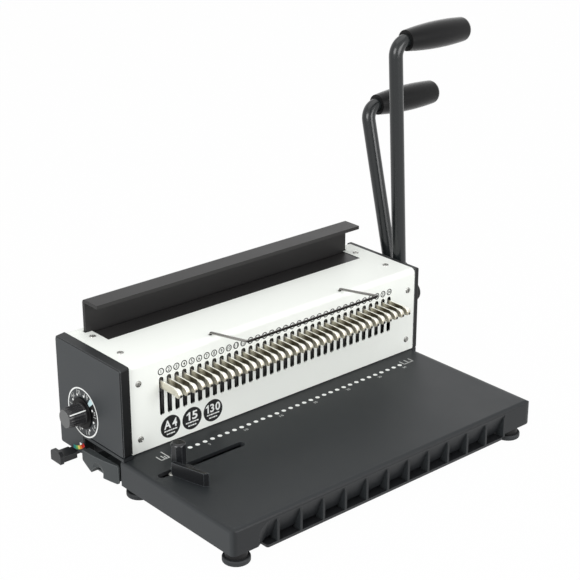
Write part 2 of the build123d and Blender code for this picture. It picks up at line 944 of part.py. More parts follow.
def side_guide():
    wall = Polygon(
        (-fence_out, -fence_start),
        (fence_t - fence_out, -fence_start),
        (fence_t - fence_out, -fence_end),
        (fence_chamfer - fence_out, -fence_end),
        (-fence_out, fence_chamfer - fence_end),
        align=None,
    )
    heel = Polygon(
        (fence_t - fence_out, -heel_front),
        (fence_t - fence_out, heel_back),
        (heel_side, heel_back),
        (heel_side, -heel_front),
        align=None,
    )
    heel = fillet(heel.vertices().group_by(Axis.Y)[-1], heel_r)
    body = raised(fence_gap, fence_high, wall) + raised(fence_gap, heel_high, heel)
    body -= post(0, 0, 0, heel_high, stud_screw_r + shaft_fit)
    return Pos(-fence_x, -fence_slot_y, 0) * Rot(0, 0, fence_turn_angle) * body


def guide_knob():
    """Eight-sided knob with a domed top on a screw with its nut under the table."""
    profile = Polygon(
        (0, knob_low),
        (knob_side_r, knob_low),
        (knob_side_r, knob_high),
        (0, knob_high),
        align=None,
    )
    profile = fillet(profile.vertices().sort_by_distance((knob_side_r, knob_high))[0], knob_dome_r)
    body = revolve(Plane.XZ * profile, Axis.Z)
    sides = Rot(0, 0, knob_turn_angle) * RegularPolygon(knob_side_r, knob_sides)
    body &= raised(knob_low, knob_high, sides)
    nut_top = -bed_top_t - nut_gap
    body += post(0, 0, nut_top - nut_t, knob_low, stud_screw_r)
    body += post(0, 0, nut_top - nut_t, nut_top, nut_r)
    return Pos(-fence_x, -fence_slot_y, 0) * body


def wire_rack():
    path = FilletPolyline(
        (-rack_half, rack_y, rack_inner),
        (-rack_half, rack_y, rack_bend),
        (-rack_half, -rack_front, rack_high),
        (rack_half, -rack_front, rack_high),
        (rack_half, rack_y, rack_bend),
        (rack_half, rack_y, rack_inner),
        radius=rack_bend_r,
    )
    return sweep(Pos(-rack_half, rack_y, rack_inner) * Circle(rack_wire_r), path=path)


def torsion_spring(y, z):
    """Coil round a shaft, its last turn against the side frame."""
    height = spring_pitch * spring_turns
    coil = Helix(spring_pitch, height, spring_r)
    wire = sweep(Plane(coil @ 0, z_dir=coil % 0) * Circle(spring_wire_r), path=coil)
    start = frame_inner - height - spring_wire_r - spring_gap
    return Pos(start, y, z) * Rot(0, 90, 0) * wire


def return_springs():
    return Compound([torsion_spring(punch_y, punch_z), torsion_spring(closer_y, closer_z)])


def build():
    parts = {
        "bed_table": bed_table(),
        "base_plate": base_plate(),
        "rubber_feet": rubber_feet(),
        "cover": cover(),
        "left_end_cover": left_end_cover(),
        "right_end_cover": right_end_cover(),
        "side_frames": side_frames(),
        "die_block": die_block(),
        "punch_beam": punch_beam(),
        "punch_pins": punch_pins(),
        "punch_shaft": punch_shaft(),
        "closer_shaft": closer_shaft(),
        "closer_bar": closer_bar(),
        "wire_anvil": wire_anvil(),
        "dial_knob": dial_knob(),
        "depth_lever": depth_lever(),
        "paper_stop": paper_stop(),
        "chip_tray": chip_tray(),
        "side_guide": side_guide(),
        "guide_knob": guide_knob(),
        "wire_rack": wire_rack(),
        "return_springs": return_springs(),
    }
    levers = (
        ("punch", punch_length, punch_plane, punch_y, punch_z, punch_lean_angle),
        ("closer", closer_length, closer_plane, closer_y, closer_z, closer_lean_angle),
    )
    for name, length, plane, y, z, lean in levers:
        parts[name + "_handle"] = place_handle(handle(length), plane, y, z, lean)
        parts[name + "_grip"] = place_handle(grip(length), plane, y, z, lean)
    for index in range(hole_count):
        parts["pin_pull_%02d" % (index + 1)] = pin_pull(index)
    return parts


def main():
    os.makedirs("parts", exist_ok=True)
    parts = build()
    box = Compound(list(parts.values())).bounding_box()
    middle = box.center()
    to_ground = Pos(-middle.X, -middle.Y, -box.min.Z)
    print("origin in the modelling frame: %.4f %.4f %.4f" % (middle.X, middle.Y, box.min.Z))
    for name, shape in parts.items():
        export_step(to_ground * shape, "parts/%s.step" % name)


main()
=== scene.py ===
import bpy
import bmesh
import math
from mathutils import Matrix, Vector

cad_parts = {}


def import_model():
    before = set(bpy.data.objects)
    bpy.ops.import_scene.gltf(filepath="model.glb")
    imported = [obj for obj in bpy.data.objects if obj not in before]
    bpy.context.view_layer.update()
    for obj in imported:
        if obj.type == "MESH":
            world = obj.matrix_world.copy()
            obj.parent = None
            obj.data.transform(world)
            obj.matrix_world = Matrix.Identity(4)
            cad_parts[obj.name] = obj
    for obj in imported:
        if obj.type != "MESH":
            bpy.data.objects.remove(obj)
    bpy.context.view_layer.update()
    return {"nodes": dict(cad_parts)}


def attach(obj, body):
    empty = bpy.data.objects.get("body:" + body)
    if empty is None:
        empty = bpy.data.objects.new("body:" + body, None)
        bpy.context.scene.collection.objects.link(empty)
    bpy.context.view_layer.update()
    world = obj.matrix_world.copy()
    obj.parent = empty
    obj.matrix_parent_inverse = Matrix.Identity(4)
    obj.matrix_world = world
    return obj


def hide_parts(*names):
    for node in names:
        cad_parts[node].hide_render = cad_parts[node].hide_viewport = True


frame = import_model()

# Places are in millimetres: x along the row of holes from its middle, y back from the housing's
# front face, z up from the top of the bed. The frame's origin is at ORIGIN, and at() turns a place
# into the frame's metres.
ORIGIN = Vector((48.15, -19.5707, -36.0))
HOLES = 34
PITCH = 8.467
LEFT_FACE = -186.305
COVER_TOP = 87.4
PRINT = 0.08


def at(x, y, z):
    return Vector((x - ORIGIN.x, y - ORIGIN.y, z - ORIGIN.z)) / 1000


def hole_x(index):
    return (index - (HOLES - 1) / 2) * PITCH


def srgb(r, g, b):
    def lin(c):
        c = c / 255
        return c / 12.92 if c <= 0.04045 else ((c + 0.055) / 1.055) ** 2.4

    return (lin(r), lin(g), lin(b), 1.0)


# Shader nodes

def connect(tree, node, inputs):
    """Give each input the output or the plain value that is listed for it."""
    for key, value in inputs.items():
        if isinstance(value, bpy.types.NodeSocket):
            tree.links.new(value, node.inputs[key])
        else:
            node.inputs[key].default_value = value
    return node


def mixed(tree, share, first, second, blend="MIX"):
    """Colour between two colours."""
    node = tree.nodes.new("ShaderNodeMix")
    node.data_type = "RGBA"
    node.blend_type = blend
    return connect(tree, node, {"Factor": share, "A": first, "B": second}).outputs["Result"]


def ramped(tree, value, low, high):
    """Share that goes from 0 to 1 while a value goes from low to high."""
    node = tree.nodes.new("ShaderNodeMapRange")
    inputs = {"Value": value, "From Min": low, "From Max": high}
    return connect(tree, node, inputs).outputs["Result"]


def cosine(tree, way, other):
    """Cosine of the angle between two directions."""
    node = tree.nodes.new("ShaderNodeVectorMath")
    node.operation = "DOT_PRODUCT"
    return connect(tree, node, {0: way, 1: other}).outputs["Value"]


def surface_normal(tree):
    return tree.nodes.new("ShaderNodeNewGeometry").outputs["Normal"]


def place_along(tree, coords, axis):
    node = tree.nodes.new("ShaderNodeSeparateXYZ")
    return connect(tree, node, {"Vector": coords}).outputs[axis]


def noise(tree, coords, scale, detail, roughness):
    node = tree.nodes.new("ShaderNodeTexNoise")
    inputs = {"Vector": coords, "Scale": scale, "Detail": detail, "Roughness": roughness}
    return connect(tree, node, inputs).outputs["Fac"]


def tones(tree, coords, stops):
    """Tone at each place along the object's y, in metres."""
    first, last = stops[0][0], stops[-1][0]
    node = tree.nodes.new("ShaderNodeValToRGB")
    elements = node.color_ramp.elements
    while len(elements) < len(stops):
        elements.new(0.5)
    for element, (y, tone) in zip(elements, stops):
        element.position = (y - first) / (last - first)
        element.color = tone
    share = ramped(tree, place_along(tree, coords, "Y"), first, last)
    return connect(tree, node, {"Fac": share}).outputs["Color"]


# Materials

CLOUD_SCALE = 24.0
CLOUD_DETAIL = 4.0
CLOUD_ROUGHNESS = 0.5
GRAIN_DETAIL = 3.0
GRAIN_ROUGHNESS = 0.6
ROUGH_SPREAD = 0.06
SHEEN_ROUGHNESS = 0.35
LOW_BLEND = 0.0004
BEVEL_SAMPLES = 6
EDGE_HIGHLIGHT_COSINES = (0.985, 0.9)
UP, FORWARD, LEFT = (0, 0, 1), (0, -1, 0), (-1, 0, 0)


def material(name, colour, rough=0.5, metal=0.0, specular=0.5, coat=0.0, sheen=0.0, vary=0.05,
             grain=None, grain_depth=0.00001, along=None, low=None, faces=(), edge=None):
    """Principled surface with clouded colour and roughness, and a fine bump.

    along: painted light and shade as tones along the object's y, multiplied with the colour
    low: a height and the colour below it
    faces: painted light and shade, as colours of faces that look one way, each with that way and
    its range of cosines
    edge: width and colour of a painted highlight along the edges
    """
    m = bpy.data.materials.new(name)
    m.use_nodes = True
    tree = m.node_tree
    coords = tree.nodes.new("ShaderNodeTexCoord").outputs["Object"]
    cloud = noise(tree, coords, CLOUD_SCALE, CLOUD_DETAIL, CLOUD_ROUGHNESS)
    darker, lighter = (tuple(c * k for c in colour[:3]) + (1,) for k in (1 - vary, 1 + vary))
    result = mixed(tree, cloud, darker, lighter)
    # Tones along y multiplied in: painted light and shade.
    if along:
        result = mixed(tree, 1.0, result, tones(tree, coords, along), "MULTIPLY")
    if low:
        height, low_colour = low
        z = place_along(tree, coords, "Z")
        share = ramped(tree, z, height - LOW_BLEND, height + LOW_BLEND)
        result = mixed(tree, share, low_colour, result)
    # Faces that look one way get another colour: painted light and shade by direction.
    for painted_light_colour, way, (least, most) in faces:
        share = ramped(tree, cosine(tree, surface_normal(tree), way), least, most)
        result = mixed(tree, share, result, painted_light_colour)
    # Edges found by the bevel node get a lighter colour: a painted highlight.
    if edge:
        width, painted_highlight_colour = edge
        bevel = tree.nodes.new("ShaderNodeBevel")
        bevel.samples = BEVEL_SAMPLES
        connect(tree, bevel, {"Radius": width})
        flatness = cosine(tree, bevel.outputs["Normal"], surface_normal(tree))
        result = mixed(tree, ramped(tree, flatness, *EDGE_HIGHLIGHT_COSINES), result, painted_highlight_colour)
    spread = tree.nodes.new("ShaderNodeMapRange")
    inputs = {"Value": cloud, "To Min": rough - ROUGH_SPREAD, "To Max": rough + ROUGH_SPREAD}
    connect(tree, spread, inputs)
    shader = tree.nodes["Principled BSDF"]
    connect(tree, shader, {
        "Base Color": colour, "Roughness": rough, "Metallic": metal, "Specular IOR Level": specular,
        "Coat Weight": coat, "Sheen Weight": sheen, "Sheen Roughness": SHEEN_ROUGHNESS,
    })
    connect(tree, shader, {"Base Color": result, "Roughness": spread.outputs["Result"]})
    if grain:
        height = noise(tree, coords, grain, GRAIN_DETAIL, GRAIN_ROUGHNESS)
        bump = tree.nodes.new("ShaderNodeBump")
        connect(tree, bump, {"Height": height, "Distance": grain_depth, "Strength": 1.0})
        connect(tree, shader, {"Normal": bump.outputs["Normal"]})
    return m


BED = material(
    "bed_plastic", srgb(32, 35, 37), 0.46, specular=0.3, vary=0.06,
    grain=2600, grain_depth=0.00003,
    # Painted shade on the faces that look forward and painted light on the faces that look left.
    faces=(
        (srgb(28, 30, 32), FORWARD, (0.5, 0.9)),
        (srgb(47, 50, 52), LEFT, (0.6, 0.97)),
    ),
)
END = material(
    "end_cover_plastic", srgb(54, 57, 59), 0.5, specular=0.31,
    grain=2200, grain_depth=0.00003,
    # Painted dark reflection on the faces that look forward and painted shade on the faces that
    # slope up.
    faces=(
        (srgb(12, 13, 14), FORWARD, (0.3, 0.65)),
        (srgb(27, 29, 30), UP, (0.3, 0.65)),
    ),
    # Painted highlight along the edges.
    edge=(0.0009, srgb(92, 95, 97)),
)
TRAY = material(
    "tray_plastic", srgb(58, 62, 63), 0.5, specular=0.35,
    # Painted highlight along the edges.
    grain=2200, grain_depth=0.00003, edge=(0.0008, srgb(112, 116, 117)),
)
WHITE = material(
    "cover_paint", srgb(237, 240, 235), 0.5, specular=0.25, vary=0.01, grain=900,
    # Faces that look left, mostly the walls of the slots, are painted near black: painted shade
    # inside the slots.
    faces=((srgb(16, 16, 17), LEFT, (0.5, 0.9)),),
)
BLACK_PAINT = material(
    "black_paint", srgb(30, 31, 33), 0.38, specular=0.35, grain=1500,
    # Painted highlight along the edges.
    edge=(0.0007, srgb(72, 74, 76)),
)
TUBE = material("tube_paint", srgb(22, 25, 26), 0.26, specular=0.4, coat=0.18, vary=0.08)
FOAM = material(
    "grip_foam", srgb(5, 5, 6), 0.42, specular=0.16, sheen=0.5, vary=0.08,
    grain=1400, grain_depth=0.00005,
)
RUBBER = material(
    "foot_rubber", srgb(14, 14, 15), 0.55, specular=0.3, vary=0.06,
    grain=1200, grain_depth=0.00005, low=(0.0052, srgb(42, 44, 46)),
)
STEEL = material("frame_steel", srgb(150, 150, 150), 0.35, metal=1.0)
SPRING = material("spring_steel", srgb(140, 140, 138), 0.3, metal=1.0)
# Faces that look up are painted near white: a painted highlight on the pulls' tops.
NICKEL_TOP_HIGHLIGHT = (srgb(250, 248, 240), UP, (0.35, 0.8))
NICKEL = material(
    "pull_nickel", srgb(205, 200, 183), 0.3, metal=0.75, vary=0.08, grain=1500,
    faces=(NICKEL_TOP_HIGHLIGHT,),
    # Tones along y paint light and shade on the pulls: light at the pad and next to the slot, dark
    # along the stem where the neighbouring pull shades it.
    along=(
        (-0.0086, srgb(250, 250, 250)),
        (-0.0034, srgb(236, 236, 234)),
        (-0.0002, srgb(128, 126, 116)),
        (0.0085, srgb(118, 112, 98)),
        (0.0135, srgb(226, 224, 216)),
        (0.0196, srgb(255, 255, 255)),
    ),
)
NICKEL_END = material(
    "pull_nickel_end", srgb(222, 217, 202), 0.32, metal=0.7, vary=0.08, grain=1500,
    faces=(NICKEL_TOP_HIGHLIGHT,),
)
CHROME = material(
    "rack_chrome", srgb(150, 148, 145), 0.2, metal=1.0,
    # Faces that look forward are painted dark: painted shade on the front of the wire.
    faces=((srgb(40, 39, 38), FORWARD, (0.1, 0.5)),),
)
GLOSS = material("knob_plastic", srgb(32, 32, 34), 0.28)
# A lighter copy of the knob's plastic for its end face: painted light where the end looks towards
# the key lamp.
LIT_KNOB_END = material("knob_end_painted_light", srgb(88, 89, 89), 0.4, vary=0.04, grain=1500)
KNOB_SKIRT = material("knob_skirt", srgb(8, 8, 9), 0.5, specular=0.16)
GUIDE = material(
    # Painted highlight along the edges.
    "guide_plastic", srgb(25, 26, 28), 0.24, grain=1800, edge=(0.0007, srgb(92, 96, 99)),
)
BAR = material("bar_oxide", srgb(38, 37, 37), 0.42, specular=0.28, vary=0.06, grain=1200)
ZINC = material("screw_zinc", srgb(158, 158, 154), 0.26, metal=0.85, vary=0.08)
BLACK_INK_AND_SHADE = material("black_ink_and_shade", srgb(10, 10, 11))
WHITE_INK = material("white_ink", srgb(236, 238, 236), vary=0.02)
GREY_INK = material("grey_ink", srgb(190, 192, 190), vary=0.03)
PALE_INK = material("pale_blue_ink", srgb(196, 222, 226), vary=0.03)
SCALE_INKS = (
    ("teal", material("teal_ink", srgb(34, 128, 128), vary=0.03)),
    ("green", material("green_ink", srgb(96, 168, 96), vary=0.03)),
    ("yellow", material("yellow_ink", srgb(222, 196, 96), vary=0.03)),
    ("orange", material("orange_ink", srgb(206, 122, 40), vary=0.03)),
    ("red", material("red_ink", srgb(172, 26, 22), vary=0.03)),
)

PAINT = {
    "bed_table": BED, "base_plate": BLACK_PAINT, "rubber_feet": RUBBER, "cover": WHITE,
    "left_end_cover": END, "right_end_cover": END, "side_frames": STEEL, "die_block": STEEL,
    "wire_anvil": BAR, "wire_rack": CHROME, "return_springs": SPRING, "punch_shaft": STEEL,
    "punch_handle": TUBE, "punch_grip": FOAM, "punch_beam": STEEL, "punch_pins": STEEL,
    "closer_shaft": STEEL, "closer_handle": TUBE, "closer_grip": FOAM, "closer_bar": BAR,
    "dial_knob": GLOSS, "depth_lever": BLACK_PAINT, "paper_stop": STEEL, "chip_tray": TRAY,
    "side_guide": GUIDE, "guide_knob": GUIDE,
}


def paint_node(node, mat):
    o = frame["nodes"][node]
    if not o.material_slots:
        o.data.materials.append(mat)
        return
    for s in o.material_slots:
        s.link = "OBJECT"
        s.material = mat


for node, mat in PAINT.items():
    paint_node(node, mat)
for index in range(HOLES):
    paint_node("pin_pull_%02d" % (index + 1), NICKEL)


# Rounded edges of moulded parts

ROUNDED_NODES = ("side_guide", "guide_knob", "chip_tray")
ROUND_WIDTH = 0.0004
ROUND_SEGMENTS = 2
ROUND_ANGLE = math.radians(35)


def round_edges(node):
    """Small rounded edges that catch the light."""
    bevel = frame["nodes"][node].modifiers.new("edge", "BEVEL")
    bevel.width = ROUND_WIDTH
    bevel.segments = ROUND_SEGMENTS
    bevel.limit_method = "ANGLE"
    bevel.angle_limit = ROUND_ANGLE
    bevel.harden_normals = True


for node in ROUNDED_NODES:
    round_edges(node)


# Meshes. A shape is a pair of lists: points, and faces that index them.

def piece(name, shape, mat, body):
    points, faces = shape
    mesh = bpy.data.meshes.new(name)
    mesh.from_pydata([tuple(p) for p in points], [], faces)
    mesh.materials.append(mat)
    mesh.update()
    o = bpy.data.objects.new(name, mesh)
    bpy.context.scene.collection.objects.link(o)
    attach(o, body)
    return o


def crease(o, angle):
    """Sharp edges above an angle in degrees, smooth shading below it."""
    bm = bmesh.new()
    bm.from_mesh(o.data)
    limit = math.radians(angle)
    for face in bm.faces:
        face.smooth = True
    for edge in bm.edges:
        if len(edge.link_faces) == 2:
            edge.smooth = edge.calc_face_angle(0.0) < limit
    bm.to_mesh(o.data)
    bm.free()


def join(shape, more):
    """Add the points and faces of one shape to another."""
    start = len(shape[0])
    shape[0].extend(more[0])
    shape[1].extend(tuple(start + i for i in face) for face in more[1])


def circle(r, count):
    """Points around a circle, from angle 0."""
    turns = [2 * math.pi * i / count for i in range(count)]
    return [(r * math.cos(a), r * math.sin(a)) for a in turns]


def disc(r, count=48):
    return circle(r, count), [tuple(range(count))]


def sector(r0, r1, a0, a1, count=64):
    """Part of a ring between two radii and two angles in degrees."""
    points = []
    for i in range(count + 1):
        a = math.radians(a0 + (a1 - a0) * i / count)
        c, s = math.cos(a), math.sin(a)
        points += [(r0 * c, r0 * s), (r1 * c, r1 * s)]
    return points, [(2 * i, 2 * i + 1, 2 * i + 3, 2 * i + 2) for i in range(count)]


def bar(w, h):
    return [(-w / 2, -h / 2), (w / 2, -h / 2), (w / 2, h / 2), (-w / 2, h / 2)], [(0, 1, 2, 3)]


def polygon(*points):
    return list(points), [tuple(range(len(points)))]


def rounded(w, h, r, steps):
    """Points around a rectangle with round corners."""
    points = []
    for x, y, start in ((1, 1, 0), (-1, 1, 90), (-1, -1, 180), (1, -1, 270)):
        for i in range(steps + 1):
            a = math.radians(start + 90 * i / steps)
            points.append((x * (w / 2 - r) + r * math.cos(a), y * (h / 2 - r) + r * math.sin(a)))
    return points


def hull_faces(first, last, count, start=0, flip=False):
    """Faces between rings of points, from the first ring to the last, count points in each."""
    faces = []
    for ring in range(first, last):
        a, b = start + ring * count, start + (ring + 1) * count
        for i in range(count):
            j = (i + 1) % count
            around = (a + i, b + i, b + j, a + j) if flip else (a + i, a + j, b + j, b + i)
            faces.append(around)
    return faces


def ring_cap(ring, count):
    """One face that closes a ring."""
    return tuple(ring * count + i for i in range(count))


def moved(shape, x, y):
    points, faces = shape
    return [(u + x, v + y) for u, v in points], faces


def turned(shape, angle, out):
    """Move a mark out from the middle, then turn it by an angle in degrees."""
    a = math.radians(angle)
    c, s = math.cos(a), math.sin(a)
    points, faces = shape
    return [(c * (x + out) - s * y, s * (x + out) + c * y) for x, y in points], faces


# Printed marks

FONT_SIZE = 10.0
GLYPH_HEIGHT = 7.0
GLYPH_GAP = 1.3
GLYPH_BOLD = 0.26
ONE = (
    (0.1, -3.5), (1.4, -3.5), (1.4, 3.5), (0.5, 3.5), (-1.4, 2.0), (-1.4, 0.8), (0.1, 1.7),
)
ONE_WIDTH = 3.0


def text(body, height, width=None, bold=0.0):
    """Outline of a short text, centred, as a flat shape."""
    curve = bpy.data.curves.new("text", "FONT")
    curve.body = body
    curve.size = FONT_SIZE
    curve.offset = bold
    o = bpy.data.objects.new("text", curve)
    mesh = bpy.data.meshes.new_from_object(o)
    xs = [v.co.x for v in mesh.vertices]
    ys = [v.co.y for v in mesh.vertices]
    mx, my = (min(xs) + max(xs)) / 2, (min(ys) + max(ys)) / 2
    sy = height / (max(ys) - min(ys))
    sx = width / (max(xs) - min(xs)) if width else sy
    points = [((v.co.x - mx) * sx, (v.co.y - my) * sy) for v in mesh.vertices]
    faces = [tuple(p.vertices) for p in mesh.polygons]
    bpy.data.objects.remove(o)
    bpy.data.curves.remove(curve)
    bpy.data.meshes.remove(mesh)
    return points, faces


def label_shape(label, height, width):
    """Bold label whose figure one has a flag, its characters evenly spaced."""
    shape = [], []
    u = 0.0
    for character in label:
        if character == "1":
            glyph = polygon(*ONE)
            wide = ONE_WIDTH
        else:
            glyph = text(character, GLYPH_HEIGHT, None, GLYPH_BOLD)
            xs = [x for x, y in glyph[0]]
            wide = max(xs) - min(xs)
        join(shape, moved(glyph, u + wide / 2, 0.0))
        u += wide + GLYPH_GAP
    total = u - GLYPH_GAP
    wider, taller = width / total, height / GLYPH_HEIGHT
    return [((x - total / 2) * wider, y * taller) for x, y in shape[0]], shape[1]


def on_front(x, z):
    """Place for a flat mark on the cover's front face."""
    return lambda u, v: at(x + u, -PRINT, z + v)


def on_bed(x, y):
    return lambda u, v: at(x + u, y + v, PRINT)


def on_left(y, z):
    """Place for a flat mark on the left end cover, read by someone who faces it."""
    return lambda u, v: at(LEFT_FACE - PRINT, y - u, z + v)


def raised(place, way):
    """The same place, half a mark's height further out."""
    return lambda u, v: place(u, v) + Vector(way) * PRINT / 2000


class Marks:
    """Printed marks of one colour, gathered in one flat mesh."""

    def __init__(self, name, mat, slot):
        self.name = name
        self.mat = mat
        self.slot = slot
        self.shape = [], []

    def add(self, shape, place):
        points, faces = shape
        join(self.shape, ([place(u, v) for u, v in points], faces))

    def close(self):
        piece(self.name, self.shape, self.mat, "frame")


# Prints on the cover's front

NUMBER_Z = 72.0
NUMBER_RING = (2.45, 3.35)
NUMBER_HEIGHT = 3.3
WIDEST_NUMBER = 3.8
NUMBER_BOLD = 0.14
BADGES = ((-131.2, "A4", 14.4), (-107.1, "15", 12.4), (-83.1, "130", 16.6))
BADGE_Z = 15.5
BADGE_RADIUS = 10.9
LABEL_Z = 18.2
LABEL_HEIGHT = 8.4
DASH_ROWS = ((11.9, (2.0, 1.2, 2.9, 1.6, 2.2, 2.4)), (8.6, (2.2, 1.4, 2.6, 1.8)))
DASH_HEIGHT = 1.2
DASH_GAP = 0.4


def cover_prints():
    numbers = Marks("slot_numbers", BLACK_INK_AND_SHADE, "cover_paint")
    for index in range(HOLES):
        place = on_front(hole_x(index), NUMBER_Z)
        numbers.add(sector(*NUMBER_RING, 0, 360, 40), place)
        width = WIDEST_NUMBER if index + 1 > 10 else None
        numbers.add(text(str(index + 1), NUMBER_HEIGHT, width, NUMBER_BOLD), place)
    numbers.close()
    badges = Marks("badge_discs", BLACK_INK_AND_SHADE, "cover_paint")
    words = Marks("badge_marks", WHITE_INK, "cover_paint")
    for x, label, width in BADGES:
        badges.add(disc(BADGE_RADIUS, 72), on_front(x, BADGE_Z))
        label_place = raised(on_front(x, LABEL_Z), FORWARD)
        words.add(label_shape(label, LABEL_HEIGHT, width), label_place)
        for z, dashes in DASH_ROWS:
            u = -(sum(dashes) + DASH_GAP * (len(dashes) - 1)) / 2
            for dash in dashes:
                dash_place = raised(on_front(x + u + dash / 2, z), FORWARD)
                words.add(bar(dash, DASH_HEIGHT), dash_place)
                u += dash + DASH_GAP
    badges.close()
    words.close()


# Prints on the bed

SCALE_SHIFT = -2.3
DOT_RADIUS = 2.2
DOT_Y = -19.9
BED_NUMBERS = (1, 5, 10, 15, 20, 25, 30, 34)
BED_NUMBER_Y = -26.4
BED_NUMBER_HEIGHT = 3.0
BED_NUMBER_BOLD = 0.12
ONE_FIGURE_WIDTH = 1.9
TWO_FIGURES_WIDTH = 4.2
# Each comb: its left end, where its teeth stand, how long they are, and its back
COMBS = (
    (-158.5, (0.0, 4.1, 6.2, 8.7), (8.2, 7.2, 5.0, 13.0), -22.6),
    (142.6, (0.0, 6.0, 11.8), (7.6, 7.2, 7.2), -21.4),
)
TOOTH_WIDTH = 1.1
COMB_BACK = 1.0


def bed_prints():
    white = Marks("bed_dots", WHITE_INK, "bed_plastic")
    for index in range(HOLES):
        white.add(disc(DOT_RADIUS, 32), on_bed(hole_x(index) + SCALE_SHIFT, DOT_Y))
    white.close()
    grey = Marks("bed_numbers", GREY_INK, "bed_plastic")
    for number in BED_NUMBERS:
        width = ONE_FIGURE_WIDTH if number < 10 else TWO_FIGURES_WIDTH
        shape = text(str(number), BED_NUMBER_HEIGHT, width, BED_NUMBER_BOLD)
        grey.add(shape, on_bed(hole_x(number - 1) + SCALE_SHIFT, BED_NUMBER_Y))
    for x, teeth, reaches, y in COMBS:
        grey.add(bar(teeth[-1] + TOOTH_WIDTH, COMB_BACK), on_bed(x + teeth[-1] / 2, y))
        for tooth, reach in zip(teeth, reaches):
            grey.add(bar(TOOTH_WIDTH, reach), on_bed(x + tooth, y + reach / 2))
    grey.close()


# Dial face and colour marks on the left end cover. Angles are in degrees.

DIAL_Y = 56.0
DIAL_Z = 26.0
DIAL_SECTOR = (12.0, 22.2, -8, 42)
DIAL_RING = (22.5, 23.9)
DIAL_POINTER = (13.2, 22.4, 41, 55)
DIAL_LABELS = (
    ("5", 26), ("6", -13), ("8", -57), ("9", -99), ("11", 82), ("12", 118), ("14", 154),
)
LABEL_RADIUS = 19.4
LABEL_TURN = -9
FIGURE_HEIGHT = 3.6
FIGURE_WIDTH = 2.2
FIGURE_BOLD = 0.2
DIAL_DOT = 1.15
DOT_OUT = 17.0
DIAL_TICKS = (6, 64, 100, 136, -35, -78, -120, 172, 190)
TICK = (4.6, 0.6)
TICK_OUT = 19.0
TRIANGLE = ((-64.2, -6.9), (-64.4, -10.4), (-58.9, -7.7))
SCALE_MIDDLE = (-77.1, 12.2)
SCALE_RADII = (25.8, 29.4)
SCALE_TURNS = (-86, -78, -70, -63, -56, -44)


def dial_prints():
    place = on_left(DIAL_Y, DIAL_Z)
    above = raised(place, LEFT)
    black = Marks("dial_sector", BLACK_INK_AND_SHADE, "end_plastic")
    black.add(sector(*DIAL_SECTOR, 40), place)
    black.close()
    white = Marks("dial_marks", WHITE_INK, "end_plastic")
    white.add(sector(*DIAL_RING, 0, 360, 120), place)
    grey = Marks("dial_numbers", GREY_INK, "end_plastic")
    for label, angle in DIAL_LABELS:
        shape = text(label, FIGURE_HEIGHT, FIGURE_WIDTH * len(label), FIGURE_BOLD)
        a = math.radians(angle + LABEL_TURN)
        grey.add(moved(shape, LABEL_RADIUS * math.cos(a), LABEL_RADIUS * math.sin(a)), above)
        white.add(turned(disc(DIAL_DOT, 16), angle, DOT_OUT), above)
    for angle in DIAL_TICKS:
        grey.add(turned(bar(*TICK), angle, TICK_OUT), above)
    white.close()
    grey.close()
    pale = Marks("dial_pointer", PALE_INK, "end_plastic")
    pale.add(sector(*DIAL_POINTER, 8), above)
    pale.close()


def colour_marks():
    place = on_left(0.0, 0.0)
    triangle = Marks("scale_triangle", WHITE_INK, "end_plastic")
    triangle.add(polygon(*TRIANGLE), place)
    triangle.close()
    for (name, ink), start, end in zip(SCALE_INKS, SCALE_TURNS, SCALE_TURNS[1:]):
        marks = Marks("scale_" + name, ink, "end_plastic")
        marks.add(moved(sector(*SCALE_RADII, start, end, 6), *SCALE_MIDDLE), place)
        marks.close()


# Screws

SCREW_RADIUS = 3.1
SCREW_HEIGHT = 1.1
DOME_SPREAD = 1.06
RECESS_DEPTH = 0.75
RECESS_HALF = 0.42
RECESS_REACH = 1.75
RECESS_SLOPE = 0.12
SCREW_RINGS = 14
SCREW_SIDES = 56
# Each screw: its two places on the face, and the turn of its cross in radians
FRONT_SCREWS = (
    (-164.0, 67.5, 0.5), (-164.0, 13.7, 0.9), (166.0, 66.7, 0.2), (165.5, 13.3, 1.2),
)
TOP_SCREWS = (
    (-161.0, 73.0, 0.3), (-162.6, 27.6, 1.0), (161.6, 72.0, 0.7), (160.6, 27.0, 0.1),
)


def screw_shape(place, turn):
    """Domed head with a cross recess, as a fine polar grid."""
    c, s = math.cos(turn), math.sin(turn)
    points = [place(0, 0, SCREW_HEIGHT - RECESS_DEPTH)]
    for ring in range(1, SCREW_RINGS + 1):
        r = SCREW_RADIUS * ring / SCREW_RINGS
        dome = 0.0
        if ring < SCREW_RINGS:
            dome = SCREW_HEIGHT * math.sqrt(1 - (r / (DOME_SPREAD * SCREW_RADIUS)) ** 2)
        for u, v in circle(r, SCREW_SIDES):
            p, q = abs(c * u + s * v), abs(c * v - s * u)
            arms = (min(RECESS_HALF - p, RECESS_REACH - q), min(RECESS_HALF - q, RECESS_REACH - p))
            cut = min(1.0, max(0.0, max(arms) / RECESS_SLOPE + 0.5))
            points.append(place(u, v, dome - RECESS_DEPTH * cut))
    faces = [(0, 1 + i, 1 + (i + 1) % SCREW_SIDES) for i in range(SCREW_SIDES)]
    return points, faces + hull_faces(0, SCREW_RINGS - 1, SCREW_SIDES, start=1, flip=True)


def front_spot(x, z):
    return lambda u, v, h: at(x + u, -h, z + v)


def top_spot(x, y):
    return lambda u, v, h: at(x + u, y + v, COVER_TOP + h)


def screws():
    shape = [], []
    for x, z, turn in FRONT_SCREWS:
        join(shape, screw_shape(front_spot(x, z), turn))
    for x, y, turn in TOP_SCREWS:
        join(shape, screw_shape(top_spot(x, y), turn))
    crease(piece("cover_screws", shape, ZINC, "frame"), 50)


# Pulls

